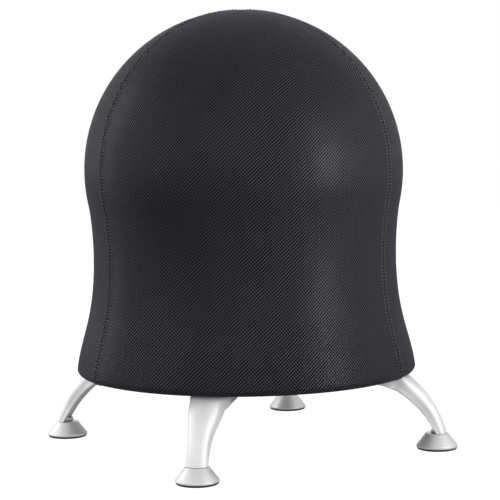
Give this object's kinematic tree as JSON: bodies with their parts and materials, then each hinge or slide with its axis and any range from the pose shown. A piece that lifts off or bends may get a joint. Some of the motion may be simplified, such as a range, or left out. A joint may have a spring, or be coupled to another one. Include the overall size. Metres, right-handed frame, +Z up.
{
  "type": "balance ball chair",
  "caption": "Stool-height ball chair: a sitting ball under a fitted black mesh cover, on a moulded base pan with curved silver cast legs and screw-levelled bell feet.",
  "frame": {"origin": "on the floor, below the middle of the ball", "axes": "+Z up along the ball's axis; the legs stand along -Y (front), +X (right), +Y (back) and -X (left)"},
  "size_m": [0.5722, 0.5722, 0.584],
  "materials": {
    "mesh_fabric": "black stretch air-mesh with small diamond holes, soft sheen",
    "lining_fabric": "plain black lining cloth",
    "zip_tape": "black woven tape with a nylon coil",
    "zip_metal": "dark lacquered zinc",
    "ball_vinyl": "satin grey vinyl",
    "plug_plastic": "white moulded plastic",
    "pan_plastic": "black moulded plastic, fine texture",
    "leg_casting": "satin silver paint over a smooth casting",
    "bell_casting": "satin silver, turned",
    "stud_steel": "zinc plated steel",
    "bolt_steel": "zinc plated steel",
    "insert_brass": "plain brass",
    "pad_rubber": "black rubber"
  },
  "bodies": {
    "root": {"cover_gore_front": "mesh_fabric", "cover_gore_right": "mesh_fabric", "cover_gore_left": "mesh_fabric", "cover_bottom_panel": "lining_fabric", "zip_chain": "zip_tape", "ball_shell": "ball_vinyl", "base_pan": "pan_plastic", "leg_front": "leg_casting", "leg_bolt_front_inner": "bolt_steel", "leg_bolt_front_outer": "bolt_steel", "pan_insert_front_inner": "insert_brass", "pan_insert_front_outer": "insert_brass", "foot_insert_front": "insert_brass", "leg_right": "leg_casting", "leg_bolt_right_inner": "bolt_steel", "leg_bolt_right_outer": "bolt_steel", "pan_insert_right_inner": "insert_brass", "pan_insert_right_outer": "insert_brass", "foot_insert_right": "insert_brass", "leg_back": "leg_casting", "leg_bolt_back_inner": "bolt_steel", "leg_bolt_back_outer": "bolt_steel", "pan_insert_back_inner": "insert_brass", "pan_insert_back_outer": "insert_brass", "foot_insert_back": "insert_brass", "leg_left": "leg_casting", "leg_bolt_left_inner": "bolt_steel", "leg_bolt_left_outer": "bolt_steel", "pan_insert_left_inner": "insert_brass", "pan_insert_left_outer": "insert_brass", "foot_insert_left": "insert_brass"},
    "foot_front": {"foot_bell_front": "bell_casting", "foot_pad_front": "pad_rubber"},
    "stud_front": {"foot_stud_front": "stud_steel"},
    "foot_right": {"foot_bell_right": "bell_casting", "foot_pad_right": "pad_rubber"},
    "stud_right": {"foot_stud_right": "stud_steel"},
    "foot_back": {"foot_bell_back": "bell_casting", "foot_pad_back": "pad_rubber"},
    "stud_back": {"foot_stud_back": "stud_steel"},
    "foot_left": {"foot_bell_left": "bell_casting", "foot_pad_left": "pad_rubber"},
    "stud_left": {"foot_stud_left": "stud_steel"},
    "slider": {"zip_slider": "zip_metal"},
    "pull_tab": {"zip_pull": "zip_metal"},
    "plug": {"ball_plug": "plug_plastic"}
  },
  "joints": [
    {"name": "foot_height_front", "type": "slide", "parent": "root", "child": "foot_front", "axis": [0, 0, -1], "range_m": [0, 0.006]},
    {"name": "foot_turn_front", "type": "hinge", "parent": "foot_front", "child": "stud_front", "pos_m": [0, -0.2588, 0.024], "axis": [0, 0, -1], "range_deg": [0, 1728]},
    {"name": "foot_height_right", "type": "slide", "parent": "root", "child": "foot_right", "axis": [0, 0, -1], "range_m": [0, 0.006]},
    {"name": "foot_turn_right", "type": "hinge", "parent": "foot_right", "child": "stud_right", "pos_m": [0.2588, 0, 0.024], "axis": [0, 0, -1], "range_deg": [0, 1728]},
    {"name": "foot_height_back", "type": "slide", "parent": "root", "child": "foot_back", "axis": [0, 0, -1], "range_m": [0, 0.006]},
    {"name": "foot_turn_back", "type": "hinge", "parent": "foot_back", "child": "stud_back", "pos_m": [0, 0.2588, 0.024], "axis": [0, 0, -1], "range_deg": [0, 1728]},
    {"name": "foot_height_left", "type": "slide", "parent": "root", "child": "foot_left", "axis": [0, 0, -1], "range_m": [0, 0.006]},
    {"name": "foot_turn_left", "type": "hinge", "parent": "foot_left", "child": "stud_left", "pos_m": [-0.2588, 0, 0.024], "axis": [0, 0, -1], "range_deg": [0, 1728]},
    {"name": "zip_travel", "type": "hinge", "parent": "root", "child": "slider", "pos_m": [0, 0, 0.097], "axis": [0, 0, 1], "range_deg": [0, 288]},
    {"name": "pull_swing", "type": "hinge", "parent": "slider", "child": "pull_tab", "pos_m": [-0.09495, 0.09169, 0.0923], "axis": [-0.7193, 0.6947, 0], "range_deg": [-80, 80]},
    {"name": "plug_pull", "type": "slide", "parent": "root", "child": "plug", "axis": [0, 0, -1], "range_m": [0, 0.03]}
  ],
  "couplings": [
    {"joint": "foot_height_front", "follows": "foot_turn_front", "m_per_rad": 0.00019894},
    {"joint": "foot_height_right", "follows": "foot_turn_right", "m_per_rad": 0.00019894},
    {"joint": "foot_height_back", "follows": "foot_turn_back", "m_per_rad": 0.00019894},
    {"joint": "foot_height_left", "follows": "foot_turn_left", "m_per_rad": 0.00019894}
  ]
}
